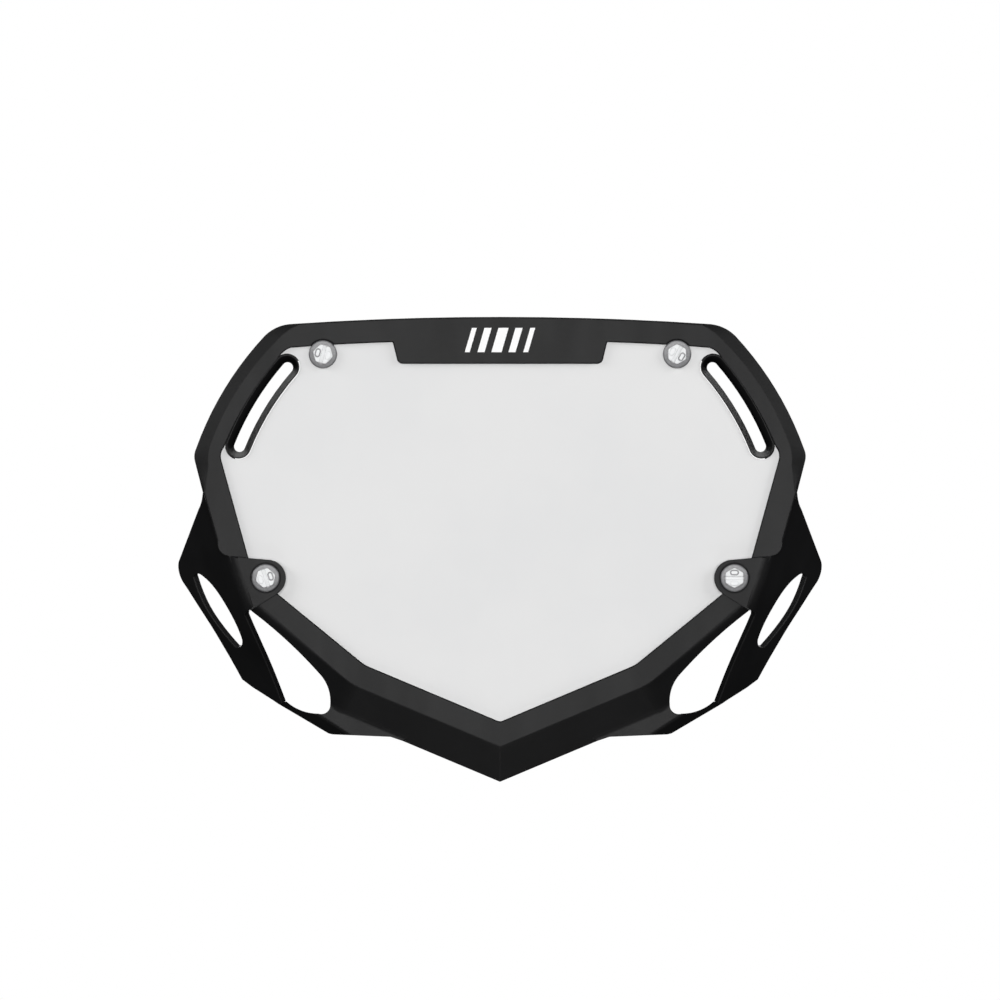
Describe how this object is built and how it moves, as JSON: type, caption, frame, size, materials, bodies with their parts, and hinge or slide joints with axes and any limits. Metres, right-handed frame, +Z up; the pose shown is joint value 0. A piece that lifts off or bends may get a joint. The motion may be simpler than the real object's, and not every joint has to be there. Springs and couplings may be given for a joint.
{
  "type": "bicycle number plate",
  "caption": "Moulded front number plate for a BMX race bike: an open-backed frame with side wings, a flat snap-in number panel and pull-out snap rivets.",
  "frame": {"origin": "centre of the bounding box of the whole plate", "axes": "+X to the plate's right as seen from the front, +Z up, the number side looks along -Y"},
  "size_m": [0.2906, 0.0478, 0.21],
  "materials": {
    "frame_black": "black moulded plastic, fine grain",
    "panel_white": "white satin sheet",
    "decal_print": "printed white vinyl",
    "rivet_clear": "translucent polished plastic",
    "rivet_socket_clear": "translucent plastic"
  },
  "bodies": {
    "plate": {"frame_shell": "frame_black", "number_panel": "panel_white", "header_decal": "decal_print", "rivet_socket_upper_left": "rivet_socket_clear", "rivet_socket_upper_right": "rivet_socket_clear", "rivet_socket_lower_left": "rivet_socket_clear", "rivet_socket_lower_right": "rivet_socket_clear"},
    "pin_upper_left": {"rivet_pin_upper_left": "rivet_clear"},
    "pin_upper_right": {"rivet_pin_upper_right": "rivet_clear"},
    "pin_lower_left": {"rivet_pin_lower_left": "rivet_clear"},
    "pin_lower_right": {"rivet_pin_lower_right": "rivet_clear"}
  },
  "joints": [
    {"name": "pull_upper_left", "type": "slide", "parent": "plate", "child": "pin_upper_left", "axis": [0, -1, 0], "range_m": [0, 0.014]},
    {"name": "pull_upper_right", "type": "slide", "parent": "plate", "child": "pin_upper_right", "axis": [0, -1, 0], "range_m": [0, 0.014]},
    {"name": "pull_lower_left", "type": "slide", "parent": "plate", "child": "pin_lower_left", "axis": [0, -1, 0], "range_m": [0, 0.014]},
    {"name": "pull_lower_right", "type": "slide", "parent": "plate", "child": "pin_lower_right", "axis": [0, -1, 0], "range_m": [0, 0.014]}
  ]
}
